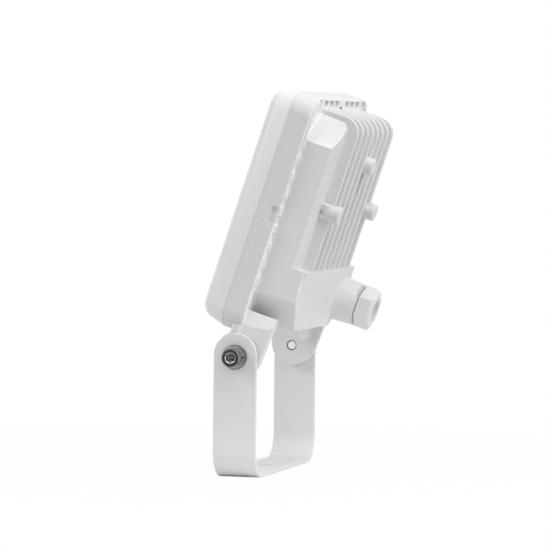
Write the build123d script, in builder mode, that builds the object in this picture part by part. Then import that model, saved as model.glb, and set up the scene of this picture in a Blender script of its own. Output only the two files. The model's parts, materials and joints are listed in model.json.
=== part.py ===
from build123d import *
import os
from math import atan, cos, degrees, radians, sin, tan

os.makedirs("parts", exist_ok=True)

# LED flood light on a folded bracket.
# Origin: middle of the bracket's underside. +Z up, the pivot runs along X, the lens looks towards -Y.
# The head has its own directions: up (along the head), front (out of the lens) and across (X).
# Heights on the head are measured from the pivot, and depths are positive towards the rear.

# Bracket: one folded strip of steel
strip_width = 25.0
strip_thickness = 2.5
bracket_width = 135.4
bend_radius = 16.0
pivot_height = 69.2
ear_rise = 1.0
pivot_clearance = 0.08
centre_hole = 10.5
slot_width = 10.5
slot_length = 19.0
slot_spacing = 84.0
strip_edge = 0.4

# Head: where it stands on the pivot
head_tilt = 18.3

# Rim that carries the lens cover
rim_width = 127.0
rim_bottom = 12.6
rim_top = 153.3
rim_corner = 12.0
rim_front = -15.7
rim_rear = -3.4
rim_wall = 3.1
rim_floor = 3.2
rim_edge = 0.8

# Rear body
body_width = 119.0
body_top = 144.8
body_rear = 15.1
body_wall = 3.0
top_wall_extra = 3.0
body_draft = 2.5
top_cut_side = 15.5
top_cut_height = 16.2
rear_cut_side = 6.5
rear_cut_depth = 2.1
floor_wall = 3.1
top_round = 6.0

# Wiring box at the foot of the body
box_top = 57.6
box_bottom = 20.8
rear_face = 21.6
box_cut_side = 18.8
box_cut_height = 18.0
box_wall = 2.8
box_edge = 1.5

# Fins
fin_count = 8
fin_pitch = 12.15
fin_thickness = 3.0
fin_top = 147.6
fin_corner = 9.5
fin_edge = 0.7
fin_root = 2.0

# Vent slots under the rim's top edge, drain dot and the pads along the sides
vent_width = 9.0
vent_top = 152.0
vent_bottom = 147.8
vent_depth = 4.0
drain_width = 7.0
drain_height = 1.7
drain_depth = 5.0
end_vent_width = 5.0
end_vent_shift = 2.4
pad_count = 8
pad_pitch = 10.42
pad_length = 5.0
pad_depth = 1.0
pad_width = 2.6
pad_corner = 0.6
pad_centre = 80.4
lip_foot = 124.0
lip_inset = 1.5
lip_end = 54.0
notch_length = 9.8
notch_depth = 4.2
notch_cut = 1.2

# Three round posts on the rear
post_diameter = 10.0
post_rear = 26.4
post_side = 42.3
post_side_height = 93.0
post_top_height = 121.5
post_edge = 0.9

# Lugs that hang between the bracket's arms
lug_thickness = 6.5
lug_radius = 13.3
lug_centre_height = 2.0
lug_centre_rear = 0.4
lug_top = 26.9
lug_top_side = 60.4
lug_rear = 14.8
lug_neck_front = -8.2
lug_neck_height = 12.0
lug_edge = 0.8
shoulder_front = 16.8
shoulder_rear = 20.3
knuckle_rear = 9.6
knuckle_top = 23.5
knuckle_inner = 44.0
knuckle_shoulder = 19.5
knuckle_foot = 51.0
knuckle_bottom = 7.2
web_top = 25.0
web_inner = 52.7
web_bend = 22.5
web_waist = 15.0
web_foot = 11.0
gusset_rear = 10.3
gusset_front = -7.0
gusset_bottom = 8.0
gusset_corner = 39.0
gusset_inner = 17.5
gusset_inner_bottom = 13.0

# Lens cover, gasket and the catches that hold it
cover_inset = 0.3
cover_front = -30.2
cover_wall = 2.4
cover_edge = 8.0
cover_draft = 14.0
gasket_thickness = 0.3
gasket_width = 2.0
gasket_inset = 0.4
skirt_length = 7.0
skirt_wall = 1.6
skirt_clearance = 0.3
catch_length = 12.0
catch_height = 1.0
catch_depth = 2.0
catch_spacing = 60.0
catch_set_back = 3.0

# Light source
pad_sheet = 0.5
board_width = 98.0
board_height = 70.0
board_thickness = 1.6
board_centre = 96.0
board_hole_inset = 3.0
led_columns = 6
led_rows = 4
led_pitch_across = 14.0
led_pitch_up = 16.0
led_size = 5.0
led_height = 0.9
reflector_wall = 1.4
reflector_side_gap = 2.5
reflector_end_gap = 3.5
reflector_mouth_width = 98.0
reflector_mouth_height = 76.0
reflector_front = -9.0
reflector_corner = 8.0

# Small screws
m3_diameter = 3.0
m3_head = 5.6
m3_head_height = 2.2
m3_hole = 3.3
board_screw_length = 4.2
driver_screw_length = 4.8
cover_screw_length = 9.0
socket_across = 2.0
socket_depth = 1.2

# Driver behind the gear cover
standoff_diameter = 6.0
standoff_height = 4.0
driver_width = 56.0
driver_height = 24.0
driver_thickness = 1.6
driver_across = 12.0
driver_centre = 41.5
driver_hole_inset = 3.5
transformer_width = 18.0
transformer_height = 16.0
transformer_depth = 13.0
transformer_corner = 1.0
winding_inset = 1.8
transformer_across = 3.0
capacitor_diameter = 8.0
capacitor_length = 13.0
capacitor_edge = 0.8
capacitor_across = 18.0
capacitor_pitch = 10.0
chip_size = 6.0
chip_height = 1.8
chip_across = 28.5
chip_pitch = 10.0
terminal_width = 24.0
terminal_height = 9.0
terminal_depth = 11.0
terminal_across = -31.0
terminal_centre = 49.8
terminal_ways = 3
terminal_pitch = 7.6
terminal_screw = 3.4
terminal_screw_height = 2.0
terminal_screw_sink = 0.6
wire_diameter = 1.4
lead_edge = 1.0
lead_run = 7.5
lead_bend = 2.0
supply_depth = 9.0
supply_reach = 8.0
supply_bend = 2.0
earth_lead_length = 8.0
tag_thickness = 0.8
tag_width = 3.0
earth_screw_length = 5.0
gear_cover_width = 108.0
gear_cover_bottom = 19.5
gear_cover_gap = 2.0
gear_cover_thickness = 1.6
gear_cover_corner = 10.0
gear_post_diameter = 7.5
gear_post_spacing = 98.0
gear_post_inset = 3.5
gear_foot_height = 24.6
earth_screw_diameter = 4.0
earth_screw_head = 7.0
earth_screw_head_height = 2.6
earth_across = -28.0
earth_height = 30.5
earth_boss_diameter = 8.0
earth_boss_height = 6.0

# Cable gland
gland_across = -45.0
gland_centre = 38.3
gland_base_radius = 13.3
gland_end_radius = 12.4
gland_end = 34.3
spigot_diameter = 18.4
spigot_length = 6.0
gland_bore = 14.8
cable_hole = 9.6
gland_floor = 30.5
seal_hole = 7.5
seal_clearance = 0.1
ring_thickness = 1.0
ring_hole = 8.6
nut_across_flats = 22.0
nut_gap = 0.6
nut_opening = 13.4
nut_length = 9.4
nut_turn = 30.0
nut_edge = 1.3
thread_clearance = 0.1

# Pivot hardware
pivot_screw = 6.0
screw_head = 10.0
screw_head_height = 6.0
screw_length = 13.0
hex_socket = 5.0
hex_socket_depth = 3.2
flat_washer = 14.0
flat_washer_thickness = 1.6
spring_washer = 11.4
spring_washer_thickness = 2.4
spring_washer_gap = 1.2
washer_hole = 6.4
friction_washer = 18.0
friction_washer_thickness = 0.5
running_gap = 0.3
washer_edge = 0.2
screw_edge = 0.5

# Places worked out from the sizes above
inner_width = bracket_width - 2 * strip_thickness
lug_outer = inner_width / 2 - friction_washer_thickness - running_gap
lug_inner = lug_outer - lug_thickness
rim_height = rim_top - rim_bottom
rim_centre = (rim_top + rim_bottom) / 2
rim_inner_width = rim_width - 2 * rim_wall
rim_inner_height = rim_height - 2 * rim_wall
floor_depth = body_rear - floor_wall
box_floor = rear_face - box_wall
tray_depth = rim_rear - rim_floor
gear_cover_front = tray_depth - gear_cover_thickness
board_front = floor_depth - pad_sheet - board_thickness
board_holes = (board_width - 2 * board_hole_inset, board_height - 2 * board_hole_inset)
driver_holes = (driver_width - 2 * driver_hole_inset, driver_height - 2 * driver_hole_inset)
led_field_width = (led_columns - 1) * led_pitch_across + led_size
led_field_height = (led_rows - 1) * led_pitch_up + led_size
reflector_foot_width = led_field_width + 2 * reflector_side_gap
reflector_foot_height = led_field_height + 2 * reflector_end_gap
gear_cover_top = board_centre - reflector_mouth_height / 2 - gear_cover_gap
gear_post_height = gear_cover_top - gear_post_inset
gear_posts = [
    (-gear_post_spacing / 2, gear_post_height),
    (gear_post_spacing / 2, gear_post_height),
    (0, gear_foot_height),
]
lead_places = (driver_across - driver_width / 8, driver_across + driver_width / 8)
supply_places = (-terminal_height / 4, terminal_height / 4)
chamber_half = body_width / 2 - body_wall
gland_draft = degrees(atan((gland_base_radius - gland_end_radius) / (gland_end - rear_face)))
pivot = Vector(0, 0, pivot_height)
up = Vector(0, sin(radians(head_tilt)), cos(radians(head_tilt)))
rearwards = Vector(0, cos(radians(head_tilt)), -sin(radians(head_tilt)))
# Front plane: x across, y up the head, z out of the lens.
# Side plane: x rearwards, y up. Top plane: x across, y rearwards.
front_plane = Plane(origin=pivot, x_dir=(1, 0, 0), z_dir=-rearwards)
side_plane = Plane(origin=pivot, x_dir=rearwards, z_dir=(1, 0, 0))
top_plane = Plane(origin=pivot, x_dir=(1, 0, 0), z_dir=up)


def depth(value):
    """Plane facing the front at a depth behind the pivot."""
    return front_plane.offset(-value)


# Bracket
arm_top = pivot_height + ear_rise + strip_width / 2
with BuildPart() as bracket:
    with BuildSketch(Plane.XZ.offset(-strip_width / 2)):
        with BuildLine():
            outer = FilletPolyline(
                (-bracket_width / 2, arm_top),
                (-bracket_width / 2, 0),
                (bracket_width / 2, 0),
                (bracket_width / 2, arm_top),
                radius=bend_radius,
            )
            inner = FilletPolyline(
                (-inner_width / 2, arm_top),
                (-inner_width / 2, strip_thickness),
                (inner_width / 2, strip_thickness),
                (inner_width / 2, arm_top),
                radius=bend_radius - strip_thickness,
            )
            Line(outer @ 0, inner @ 0)
            Line(outer @ 1, inner @ 1)
        make_face()
    extrude(amount=strip_width)
    # Rounded ears and the pivot holes
    with BuildSketch(Plane.YZ.offset(-bracket_width / 2)):
        with Locations((0, pivot_height / 2)):
            Rectangle(strip_width, pivot_height + 2 * ear_rise)
        with Locations((0, pivot_height + ear_rise)):
            Circle(strip_width / 2)
        with Locations((0, pivot_height)):
            Circle(pivot_screw / 2 + pivot_clearance, mode=Mode.SUBTRACT)
    extrude(amount=bracket_width, mode=Mode.INTERSECT)
    # Fixing holes in the base: one round, two long
    with BuildSketch(Plane.XY):
        Circle(centre_hole / 2)
        with GridLocations(slot_spacing, 0, 2, 1):
            SlotOverall(slot_length, slot_width)
    extrude(amount=strip_thickness, mode=Mode.SUBTRACT)
    chamfer(bracket.faces().filter_by(Axis.Y).edges(), strip_edge)
bracket.part.label = "bracket"
export_step(bracket.part, "parts/bracket.step")


def at_depth(value):
    """Test for a shape whose middle lies at a depth behind the pivot."""
    return lambda shape: abs((shape.center() - pivot).dot(rearwards) - value) < 0.02


def height(shape):
    """Height of a shape's middle up the head, from the pivot."""
    return (shape.center() - pivot).dot(up)


def body_half(level):
    """Half width of the body at a depth, narrower towards the rear by its draft."""
    return body_width / 2 - (level - rim_rear) * tan(radians(body_draft))


# One fin, running over the top edge to the rim
fin_places = [(i - (fin_count - 1) / 2) * fin_pitch for i in range(fin_count)]
with BuildPart() as fin:
    with BuildSketch(side_plane.offset(-fin_thickness / 2)) as fin_sketch:
        with BuildLine():
            Polyline(
                (rim_rear - fin_root, box_top - fin_root),
                (rim_rear - fin_root, fin_top),
                (rear_face, fin_top),
                (rear_face, box_top - fin_root),
                close=True,
            )
        make_face()
        fillet(fin_sketch.vertices().sort_by(lambda corner: corner.X + corner.Y)[-1:], fin_corner)
    extrude(amount=fin_thickness)
    fillet(fin.edges().filter_by(at_depth(rear_face)).filter_by(Axis(pivot, up)), fin_edge)


# Rear housing: rim, shell, fins, wiring box and lugs in one casting
cut_foot = box_bottom + box_cut_height
lug_middle = lug_inner + lug_thickness / 2
with BuildPart() as rear_housing:
    # Rim
    with BuildSketch(depth(rim_rear)):
        with Locations((0, rim_centre)):
            RectangleRounded(rim_width, rim_height, rim_corner)
    extrude(amount=rim_rear - rim_front)
    fillet(rear_housing.edges().filter_by(at_depth(rim_rear)), rim_edge)
    # Shell behind the rim, with its cut upper corners
    for level in (rim_rear, body_rear):
        half = body_half(level)
        with BuildSketch(depth(level)):
            with BuildLine():
                Polyline(
                    (-half, cut_foot),
                    (-half, body_top - top_cut_height),
                    (-half + top_cut_side, body_top),
                    (half - top_cut_side, body_top),
                    (half, body_top - top_cut_height),
                    (half, cut_foot),
                    close=True,
                )
            make_face()
    loft()
    valley = rear_housing.faces().filter_by(at_depth(body_rear))[0]
    chamfer(valley.edges().sort_by(height)[1:3], rear_cut_side, rear_cut_depth, reference=valley)
    fillet(rear_housing.edges().filter_by(at_depth(body_rear)).sort_by(height)[-1:], top_round)
    # Wiring box, with its cut lower corners
    for level in (rim_rear, rear_face):
        half = body_half(level)
        with BuildSketch(depth(level)):
            with BuildLine():
                Polyline(
                    (-half, box_top),
                    (-half, cut_foot),
                    (-half + box_cut_side, box_bottom),
                    (half - box_cut_side, box_bottom),
                    (half, cut_foot),
                    (half, box_top),
                    close=True,
                )
            make_face()
    loft()
    box_face = rear_housing.faces().filter_by(at_depth(rear_face)).sort_by(Axis(pivot, up))[0]
    fillet(box_face.edges().filter_by(lambda edge: height(edge) < box_top - box_edge).filter_by(
        lambda edge: edge.length > box_cut_side / 2), box_edge)
    # Fins, flush with the box
    with Locations(*[Vector(across, 0, 0) for across in fin_places]):
        add(fin.part)
    # Posts
    with BuildSketch(depth(post_rear)):
        with Locations((-post_side, post_side_height), (post_side, post_side_height), (0, post_top_height)):
            Circle(post_diameter / 2)
    extrude(amount=post_rear - floor_depth)
    fillet(rear_housing.edges().filter_by(at_depth(post_rear)), post_edge)
    # Pads along the sides, against the shell
    with BuildSketch(depth(rim_rear + pad_depth)):
        for side in (-1, 1):
            with Locations((side * (body_width / 2 + pad_width / 2 - body_wall / 2), pad_centre)):
                with GridLocations(0, pad_pitch, 1, pad_count):
                    RectangleRounded(pad_width + body_wall, pad_length, pad_corner)
    extrude(amount=pad_depth + rim_floor / 2)
    # Lip behind the rim's upper corners, in line with the pads
    with BuildSketch(depth(rim_rear + pad_depth)):
        with Locations((0, rim_centre)):
            RectangleRounded(rim_width - 2 * lip_inset, rim_height - 2 * lip_inset, rim_corner - lip_inset)
            RectangleRounded(
                rim_width - 2 * lip_inset - 2 * pad_width,
                rim_height - 2 * lip_inset - 2 * pad_width,
                rim_corner - lip_inset - pad_width,
                mode=Mode.SUBTRACT,
            )
        with Locations((0, rim_centre)):
            Rectangle(2 * lip_end, rim_height, mode=Mode.SUBTRACT)
        with Locations((0, (rim_bottom + lip_foot) / 2)):
            Rectangle(rim_width, lip_foot - rim_bottom, mode=Mode.SUBTRACT)
    extrude(amount=pad_depth + rim_floor / 2)
    # Knuckle and web of the lug on the plain side, gusset of the lug on the gland's side
    for rear, front, corners in (
        (
            knuckle_rear,
            rim_rear,
            [
                (knuckle_inner, knuckle_top),
                (lug_middle, knuckle_top),
                (lug_middle, knuckle_bottom),
                (knuckle_foot, knuckle_bottom),
                (knuckle_inner, knuckle_shoulder),
            ],
        ),
        (
            lug_rear - lug_edge,
            rim_rear,
            [
                (web_inner, web_top),
                (lug_middle, web_top),
                (lug_middle, web_foot),
                (lug_inner, web_foot),
                (lug_inner, web_waist),
                (web_inner, shoulder_rear),
                (web_inner, web_bend),
            ],
        ),
        (
            rim_rear,
            lug_neck_front,
            [
                (knuckle_foot, knuckle_bottom),
                (knuckle_foot, rim_bottom),
                (lug_middle, rim_bottom),
                (lug_middle, knuckle_bottom),
            ],
        ),
        (
            gusset_rear,
            gusset_front,
            [
                (-lug_middle, knuckle_top),
                (-lug_middle, gusset_bottom),
                (-gusset_corner, gusset_bottom),
                (-gusset_inner, gusset_inner_bottom),
                (-gusset_inner, knuckle_top),
            ],
        ),
    ):
        with BuildSketch(depth(rear)):
            with BuildLine():
                Polyline(*corners, close=True)
            make_face()
        extrude(amount=rear - front)
    # Lugs, with a slope from the shell's side out to their flat faces
    shoulder_slope = (shoulder_rear - shoulder_front) / (lug_rear - lug_neck_front)
    shoulder_at_rim = shoulder_front + shoulder_slope * (rim_rear - lug_neck_front)
    for side in (-1, 1):
        with BuildSketch(side_plane.offset(side * lug_inner + (side - 1) / 2 * lug_thickness)):
            with Locations((lug_centre_rear, lug_centre_height)):
                Circle(lug_radius)
            with BuildLine():
                Polyline(
                    (lug_centre_rear - lug_radius, lug_centre_height),
                    (lug_neck_front, lug_neck_height),
                    (lug_neck_front, shoulder_front),
                    (rim_rear, shoulder_at_rim),
                    (rim_rear, lug_top),
                    (lug_rear, lug_top),
                    (lug_centre_rear + lug_radius, lug_centre_height),
                    close=True,
                )
            make_face()
        extrude(amount=lug_thickness)
        for level in (rim_rear, lug_rear + lug_edge):
            shoulder = shoulder_front + shoulder_slope * (level - lug_neck_front)
            with BuildSketch(depth(level)):
                with BuildLine():
                    Polyline(
                        (side * lug_outer, shoulder),
                        (side * lug_top_side, lug_top),
                        (side * lug_top_side, lug_top + lug_edge),
                        (side * (lug_outer + lug_edge), lug_top + lug_edge),
                        (side * (lug_outer + lug_edge), shoulder),
                        close=True,
                    )
                make_face()
        loft(mode=Mode.SUBTRACT)
    for side in (-1, 1):
        outer_face = rear_housing.faces().filter_by(Axis.X).sort_by(lambda face: side * face.center().X)[-1]
        fillet(outer_face.edges().filter_by(lambda edge: height(edge) < shoulder_front - lug_edge), lug_edge)
    # Boss for the cable gland, running forward along the side of the box
    with BuildSketch(depth(gland_end)):
        with Locations((gland_across, gland_centre)):
            Circle(gland_end_radius)
    extrude(amount=gland_end - rear_face, taper=-gland_draft)
    with BuildSketch(depth(rear_face + box_edge / 2)):
        with Locations((gland_across, gland_centre)):
            Circle(gland_base_radius)
    extrude(amount=rear_face - rim_rear)
    # Hollow: the rim's tray, the light chamber and the wiring chamber
    with BuildSketch(depth(tray_depth)):
        with Locations((0, rim_centre)):
            RectangleRounded(rim_inner_width, rim_inner_height, rim_corner - rim_wall)
    extrude(amount=tray_depth - rim_front, mode=Mode.SUBTRACT)
    with BuildSketch(depth(floor_depth)):
        with BuildLine():
            Polyline(
                (-chamber_half, cut_foot),
                (-chamber_half, body_top - top_cut_height),
                (-chamber_half + top_cut_side, body_top - body_wall - top_wall_extra),
                (chamber_half - top_cut_side, body_top - body_wall - top_wall_extra),
                (chamber_half, body_top - top_cut_height),
                (chamber_half, cut_foot),
                close=True,
            )
        make_face()
    extrude(amount=floor_depth - tray_depth, mode=Mode.SUBTRACT)
    with BuildSketch(depth(box_floor)):
        with BuildLine():
            Polyline(
                (-chamber_half, box_top - box_wall),
                (-chamber_half, cut_foot + body_wall / 2),
                (-chamber_half + box_cut_side, box_bottom + body_wall),
                (chamber_half - box_cut_side, box_bottom + body_wall),
                (chamber_half, cut_foot + body_wall / 2),
                (chamber_half, box_top - box_wall),
                close=True,
            )
        make_face()
    extrude(amount=box_floor - tray_depth, mode=Mode.SUBTRACT)
    # Screw posts for the gear cover and standoffs for the driver and the earth
    with BuildSketch(depth(box_floor)):
        with Locations(*gear_posts):
            Circle(gear_post_diameter / 2)
    extrude(amount=box_floor - tray_depth)
    with BuildSketch(depth(box_floor)):
        with Locations((driver_across, driver_centre)):
            with GridLocations(*driver_holes, 2, 2):
                Circle(standoff_diameter / 2)
    extrude(amount=standoff_height)
    with BuildSketch(depth(box_floor)):
        with Locations((earth_across, earth_height)):
            Circle(earth_boss_diameter / 2)
    extrude(amount=earth_boss_height)
    # Threaded spigot of the gland and its bore
    with BuildSketch(depth(gland_end + spigot_length)):
        with Locations((gland_across, gland_centre)):
            Circle(spigot_diameter / 2)
    extrude(amount=spigot_length)
    with BuildSketch(depth(gland_end + spigot_length)):
        with Locations((gland_across, gland_centre)):
            Circle(gland_bore / 2)
    extrude(amount=gland_end + spigot_length - gland_floor, mode=Mode.SUBTRACT)
    with BuildSketch(depth(gland_floor)):
        with Locations((gland_across, gland_centre)):
            Circle(cable_hole / 2)
    extrude(amount=gland_floor - box_floor, mode=Mode.SUBTRACT)
    # Tapped holes: board screws, driver screws, gear cover screws and earth screw
    with BuildSketch(depth(floor_depth)):
        with Locations((0, board_centre)):
            with GridLocations(*board_holes, 2, 2):
                Circle(m3_diameter / 2)
    extrude(amount=floor_depth - board_front - board_screw_length, mode=Mode.SUBTRACT)
    with BuildSketch(depth(box_floor - standoff_height)):
        with Locations((driver_across, driver_centre)):
            with GridLocations(*driver_holes, 2, 2):
                Circle(m3_diameter / 2)
    extrude(amount=driver_thickness - driver_screw_length, mode=Mode.SUBTRACT)
    with BuildSketch(depth(tray_depth)):
        with Locations(*gear_posts):
            Circle(m3_diameter / 2)
    extrude(amount=gear_cover_thickness - cover_screw_length, mode=Mode.SUBTRACT)
    with BuildSketch(depth(box_floor - earth_boss_height)):
        with Locations((earth_across, earth_height)):
            Circle(earth_screw_diameter / 2)
    extrude(amount=tag_thickness - earth_screw_length, mode=Mode.SUBTRACT)
    # Tapped pivot holes through the lugs
    with BuildSketch(Plane(origin=pivot, x_dir=(0, 1, 0), z_dir=(1, 0, 0))):
        Circle(pivot_screw / 2)
    extrude(amount=bracket_width, both=True, mode=Mode.SUBTRACT)
    # Slots under the rim's top edge, deepest at their tops, and the drain between the middle fins
    vents = [(i * fin_pitch, vent_width) for i in (-3, -2, -1, 1, 2, 3)]
    vents += [(side * (4 * fin_pitch + end_vent_shift), end_vent_width) for side in (-1, 1)]
    for across, wide in vents:
        with BuildSketch(side_plane.offset(across - wide / 2)):
            with BuildLine():
                Polyline(
                    (rim_rear + pad_depth, vent_top),
                    (rim_rear - vent_depth, vent_top),
                    (rim_rear, vent_bottom),
                    (rim_rear + pad_depth, vent_bottom),
                    close=True,
                )
            make_face()
        extrude(amount=wide, mode=Mode.SUBTRACT)
    with BuildSketch(depth(rim_rear)):
        with Locations((0, vent_bottom)):
            Rectangle(drain_width, drain_height)
    extrude(amount=drain_depth, mode=Mode.SUBTRACT)
    # Notches for a tool, halfway up both sides of the rim
    with BuildSketch(depth(rim_rear)):
        for side in (-1, 1):
            with Locations((side * (rim_width / 2), rim_centre)):
                Rectangle(2 * notch_cut, notch_length)
    extrude(amount=notch_depth, mode=Mode.SUBTRACT)
    # Grooves inside the rim for the cover's catches
    with BuildSketch(depth(rim_front + catch_set_back)):
        for side in (-1, 1):
            with Locations((side * (rim_inner_width / 2), rim_centre)):
                with GridLocations(0, catch_spacing, 1, 2):
                    Rectangle(2 * (catch_height + skirt_clearance), catch_length + 2 * skirt_clearance)
    extrude(amount=-catch_depth - skirt_clearance, mode=Mode.SUBTRACT)
rear_housing.part.label = "rear_housing"
export_step(rear_housing.part, "parts/rear_housing.step")


# Cover gasket, between the rim and the lens cover
with BuildPart() as cover_gasket:
    with BuildSketch(depth(rim_front)):
        with Locations((0, rim_centre)):
            gasket_outline = RectangleRounded(
                rim_width - 2 * gasket_inset, rim_height - 2 * gasket_inset, rim_corner - gasket_inset
            )
            offset(gasket_outline, -gasket_width, mode=Mode.SUBTRACT)
    extrude(amount=gasket_thickness)
cover_gasket.part.label = "cover_gasket"
export_step(cover_gasket.part, "parts/cover_gasket.step")


# Opal lens cover: a deep tray with a skirt and catches inside the rim
cover_width = rim_width - 2 * cover_inset
cover_height = rim_height - 2 * cover_inset
cover_foot = rim_front - gasket_thickness
skirt_width = rim_inner_width - 2 * skirt_clearance
skirt_height = rim_inner_height - 2 * skirt_clearance
skirt_corner = rim_corner - rim_wall - skirt_clearance
with BuildPart() as lens_cover:
    with BuildSketch(depth(cover_foot)):
        with Locations((0, rim_centre)):
            RectangleRounded(cover_width, cover_height, rim_corner - cover_inset)
    extrude(amount=cover_foot - cover_front, taper=cover_draft)
    fillet(lens_cover.edges().filter_by(at_depth(cover_front)), cover_edge)
    with BuildSketch(depth(cover_foot)):
        with Locations((0, rim_centre)):
            RectangleRounded(
                skirt_width - 2 * skirt_wall, skirt_height - 2 * skirt_wall, skirt_corner - skirt_wall
            )
    extrude(amount=cover_foot - cover_front - cover_wall, taper=cover_draft, mode=Mode.SUBTRACT)
    with BuildSketch(depth(cover_foot)):
        with Locations((0, rim_centre)):
            RectangleRounded(skirt_width, skirt_height, skirt_corner)
            RectangleRounded(
                skirt_width - 2 * skirt_wall,
                skirt_height - 2 * skirt_wall,
                skirt_corner - skirt_wall,
                mode=Mode.SUBTRACT,
            )
    extrude(amount=-skirt_length)
    with BuildSketch(depth(rim_front + catch_set_back)):
        for side in (-1, 1):
            with Locations((side * (skirt_width / 2 + (catch_height - skirt_wall) / 2), rim_centre)):
                with GridLocations(0, catch_spacing, 1, 2):
                    Rectangle(catch_height + skirt_wall, catch_length)
    extrude(amount=-catch_depth)
lens_cover.part.label = "lens_cover"
export_step(lens_cover.part, "parts/lens_cover.step")


# Thermal sheet and the board of light-emitting diodes, on the floor of the light chamber
with BuildPart() as thermal_sheet:
    with BuildSketch(depth(floor_depth)):
        with Locations((0, board_centre)):
            Rectangle(board_width, board_height)
            with GridLocations(*board_holes, 2, 2):
                Circle(m3_hole / 2, mode=Mode.SUBTRACT)
    extrude(amount=pad_sheet)
thermal_sheet.part.label = "thermal_sheet"
export_step(thermal_sheet.part, "parts/thermal_sheet.step")

with BuildPart() as led_board:
    with BuildSketch(depth(floor_depth - pad_sheet)):
        with Locations((0, board_centre)):
            Rectangle(board_width, board_height)
            with GridLocations(*board_holes, 2, 2):
                Circle(m3_hole / 2, mode=Mode.SUBTRACT)
    extrude(amount=board_thickness)
led_board.part.label = "led_board"
export_step(led_board.part, "parts/led_board.step")

with BuildPart() as led_chips:
    with BuildSketch(depth(board_front)):
        with Locations((0, board_centre)):
            with GridLocations(led_pitch_across, led_pitch_up, led_columns, led_rows):
                Rectangle(led_size, led_size)
    extrude(amount=led_height)
    chamfer(led_chips.edges().filter_by(at_depth(board_front - led_height)), led_height / 3)
led_chips.part.label = "led_chips"
export_step(led_chips.part, "parts/led_chips.step")


# Reflector: a frame that widens towards the lens cover
with BuildPart() as reflector:
    for level, wide, tall in (
        (board_front, reflector_foot_width, reflector_foot_height),
        (reflector_front, reflector_mouth_width, reflector_mouth_height),
    ):
        with BuildSketch(depth(level)):
            with Locations((0, board_centre)):
                RectangleRounded(
                    wide + 2 * reflector_wall, tall + 2 * reflector_wall, reflector_corner + reflector_wall
                )
    loft()
    for level, wide, tall in (
        (board_front, reflector_foot_width, reflector_foot_height),
        (reflector_front, reflector_mouth_width, reflector_mouth_height),
    ):
        with BuildSketch(depth(level)):
            with Locations((0, board_centre)):
                RectangleRounded(wide, tall, reflector_corner)
    loft(mode=Mode.SUBTRACT)
reflector.part.label = "reflector"
export_step(reflector.part, "parts/reflector.step")


# Driver board, what stands on it and its screws
driver_back = box_floor - standoff_height
driver_front = driver_back - driver_thickness
with BuildPart() as driver_board:
    with BuildSketch(depth(driver_back)):
        with Locations((driver_across, driver_centre)):
            Rectangle(driver_width, driver_height)
            with GridLocations(*driver_holes, 2, 2):
                Circle(m3_hole / 2, mode=Mode.SUBTRACT)
    extrude(amount=driver_thickness)
driver_board.part.label = "driver_board"
export_step(driver_board.part, "parts/driver_board.step")

with BuildPart() as transformer:
    with BuildSketch(depth(driver_front)):
        with Locations((transformer_across, driver_centre)):
            RectangleRounded(transformer_width, transformer_height, transformer_corner)
    extrude(amount=transformer_depth)
    with BuildSketch(depth(driver_front - transformer_depth / 4)):
        with Locations((transformer_across, driver_centre)):
            Rectangle(transformer_width, transformer_height)
            Rectangle(
                transformer_width - 2 * winding_inset, transformer_height - 2 * winding_inset, mode=Mode.SUBTRACT
            )
    extrude(amount=transformer_depth / 2, mode=Mode.SUBTRACT)
transformer.part.label = "transformer"
export_step(transformer.part, "parts/transformer.step")

with BuildPart() as capacitors:
    with BuildSketch(depth(driver_front)):
        with Locations((capacitor_across, driver_centre)):
            with GridLocations(0, capacitor_pitch, 1, 2):
                Circle(capacitor_diameter / 2)
    extrude(amount=capacitor_length)
    fillet(capacitors.edges().filter_by(at_depth(driver_front - capacitor_length)), capacitor_edge)
capacitors.part.label = "capacitors"
export_step(capacitors.part, "parts/capacitors.step")

with BuildPart() as driver_chips:
    with BuildSketch(depth(driver_front)):
        with Locations((chip_across, driver_centre)):
            with GridLocations(0, chip_pitch, 1, 2):
                Rectangle(chip_size, chip_size)
    extrude(amount=chip_height)
driver_chips.part.label = "driver_chips"
export_step(driver_chips.part, "parts/driver_chips.step")


# Terminal block on the floor of the wiring chamber, with its clamping screws
terminal_front = box_floor - terminal_depth
with BuildPart() as terminal_block:
    with BuildSketch(depth(box_floor)):
        with Locations((terminal_across, terminal_centre)):
            Rectangle(terminal_width, terminal_height)
    extrude(amount=terminal_depth)
    with BuildSketch(depth(terminal_front)):
        with Locations((terminal_across, terminal_centre)):
            with GridLocations(terminal_pitch, 0, terminal_ways, 1):
                Circle(terminal_screw / 2)
    extrude(amount=-terminal_screw_height, mode=Mode.SUBTRACT)
terminal_block.part.label = "terminal_block"
export_step(terminal_block.part, "parts/terminal_block.step")

with BuildPart() as terminal_screws:
    with BuildSketch(depth(terminal_front + terminal_screw_height)):
        with Locations((terminal_across, terminal_centre)):
            with GridLocations(terminal_pitch, 0, terminal_ways, 1):
                Circle(terminal_screw / 2)
    extrude(amount=terminal_screw_height - terminal_screw_sink)
terminal_screws.part.label = "terminal_screws"
export_step(terminal_screws.part, "parts/terminal_screws.step")


# Gear cover over the wiring chamber, and its screws
with BuildPart() as gear_cover:
    with BuildSketch(depth(tray_depth)):
        with Locations((0, (gear_cover_bottom + gear_cover_top) / 2)):
            RectangleRounded(gear_cover_width, gear_cover_top - gear_cover_bottom, gear_cover_corner)
        with Locations(*gear_posts):
            Circle(m3_hole / 2, mode=Mode.SUBTRACT)
    extrude(amount=gear_cover_thickness)
gear_cover.part.label = "gear_cover"
export_step(gear_cover.part, "parts/gear_cover.step")


# Earth screw with its tag, and the leads
earth_front = box_floor - earth_boss_height

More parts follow.
